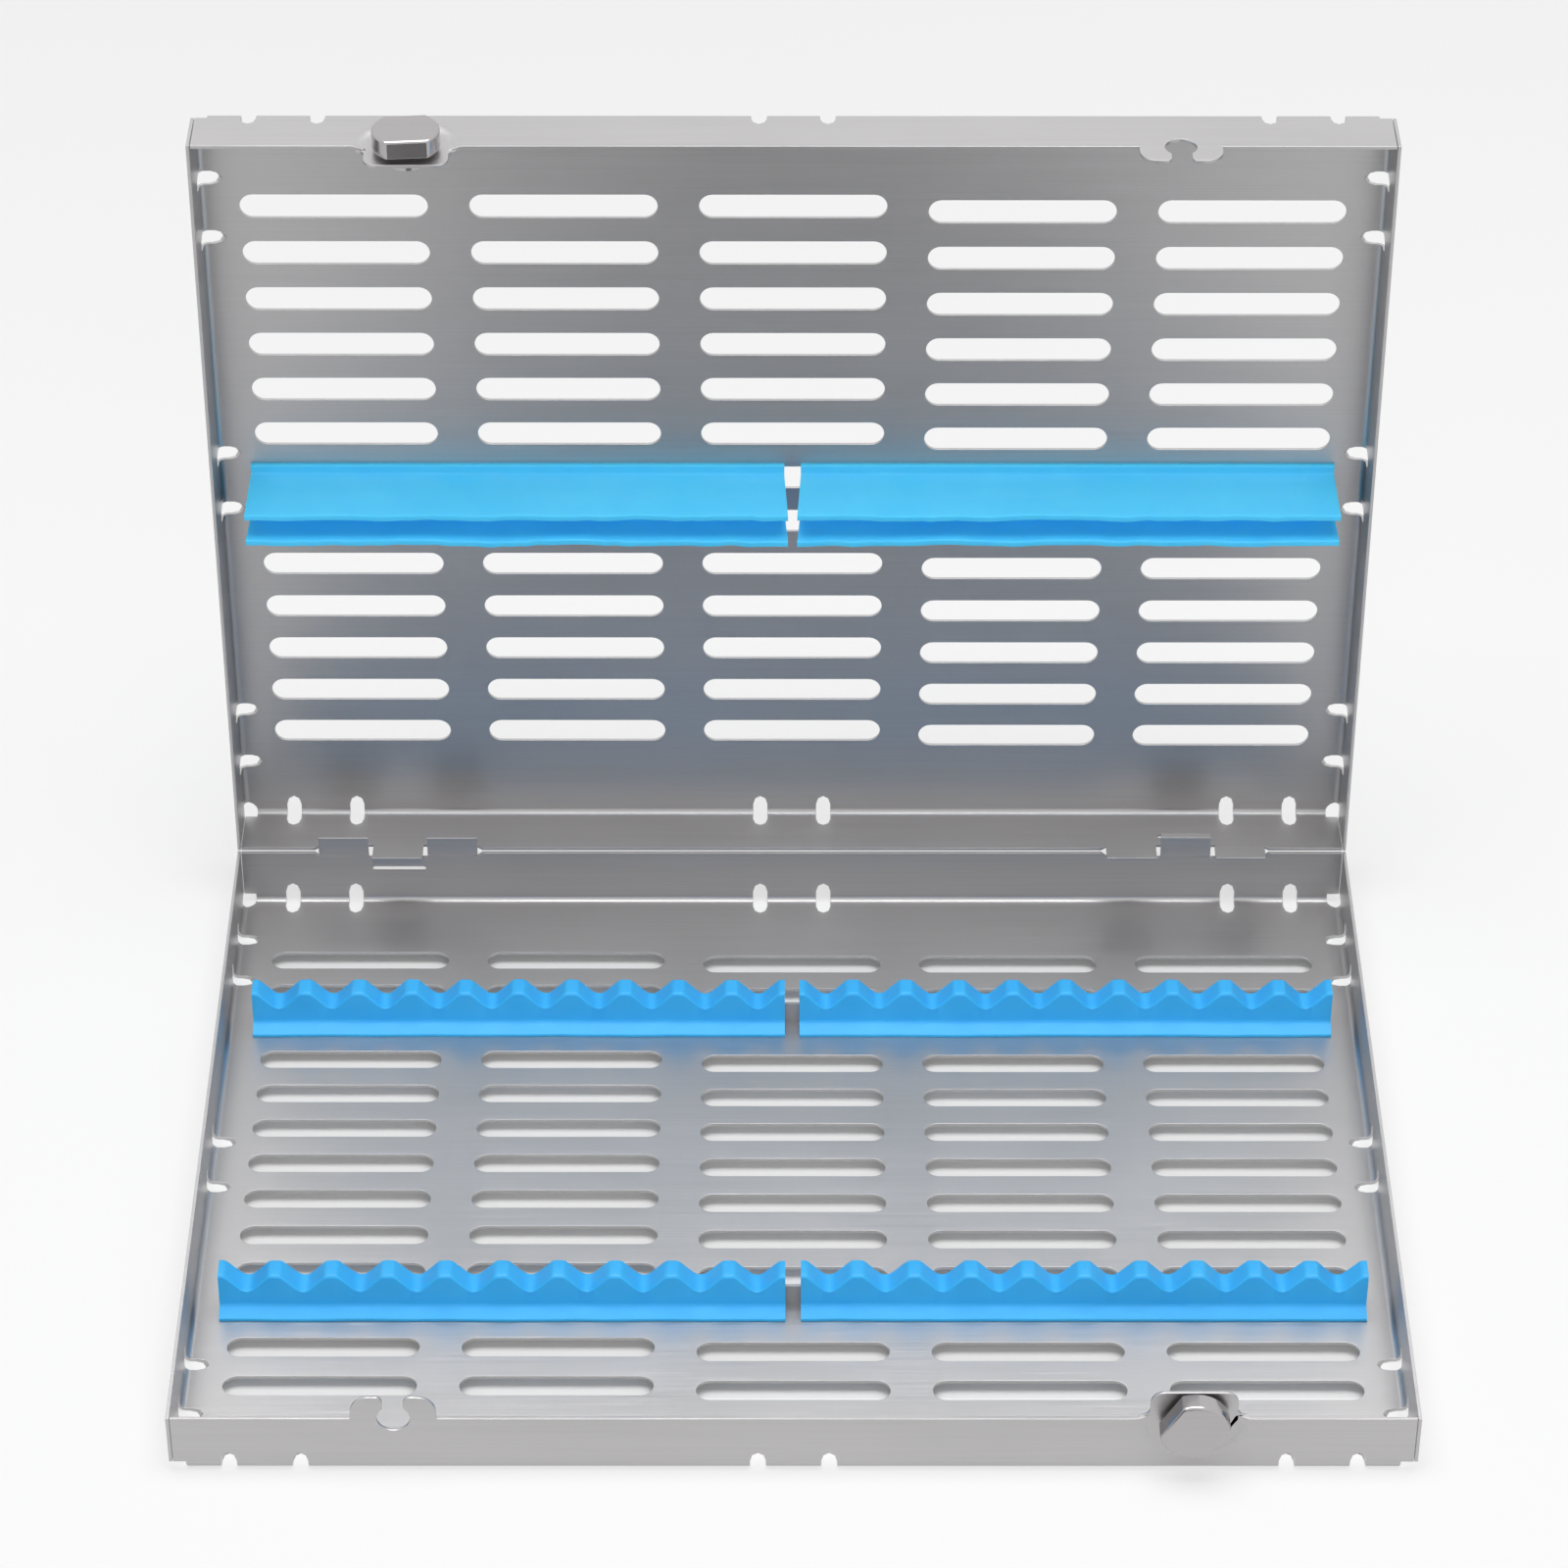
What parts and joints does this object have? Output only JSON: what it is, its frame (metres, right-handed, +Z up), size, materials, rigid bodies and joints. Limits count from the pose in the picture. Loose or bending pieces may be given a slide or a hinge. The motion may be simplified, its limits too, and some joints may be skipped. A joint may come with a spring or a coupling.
{
  "type": "instrument cassette",
  "caption": "Hinged perforated stainless steel sterilization cassette with waved silicone rails, a silicone hold-down in the lid and turn-knob latches.",
  "frame": {"origin": "underside of the base, halfway along it, on the strip of sheet between the two slot rows next to the middle (5.4 mm behind the exact middle of the base)", "axes": "+X to the right along the latch wall, -Y towards the latches, +Z up from the table; the lid's hinge line is along X at the rear wall's top edge"},
  "size_m": [0.28, 0.2291, 0.2239],
  "materials": {
    "tray_steel": "fine brushed stainless sheet",
    "knob_steel": "polished stainless steel",
    "spring_steel": "plain spring steel",
    "blue_silicone": "smooth satin silicone, light blue"
  },
  "bodies": {
    "base": {"base_shell": "tray_steel", "rear_rail_bar": "tray_steel", "front_rail_bar": "tray_steel", "rear_rail_left": "blue_silicone", "rear_rail_right": "blue_silicone", "front_rail_left": "blue_silicone", "front_rail_right": "blue_silicone", "base_latch_spring_washer": "spring_steel"},
    "lid": {"lid_shell": "tray_steel", "lid_strip_left": "blue_silicone", "lid_strip_right": "blue_silicone", "lid_latch_spring_washer": "spring_steel"},
    "base_knob": {"base_latch_knob": "knob_steel", "base_latch_retainer": "knob_steel"},
    "lid_knob": {"lid_latch_knob": "knob_steel", "lid_latch_retainer": "knob_steel"}
  },
  "joints": [
    {"name": "lid_hinge", "type": "hinge", "parent": "base", "child": "lid", "pos_m": [0, 0.09613, 0.016], "axis": [1, 0, 0], "range_deg": [0, 91.5]},
    {"name": "base_knob_turn", "type": "hinge", "parent": "base", "child": "base_knob", "pos_m": [0.0892, -0.10687, 0.016], "axis": [0, -1, 0], "continuous": true},
    {"name": "lid_knob_turn", "type": "hinge", "parent": "lid", "child": "lid_knob", "pos_m": [-0.0892, 0.10144, 0.21893], "axis": [0, 0.0262, 0.9997], "continuous": true}
  ]
}
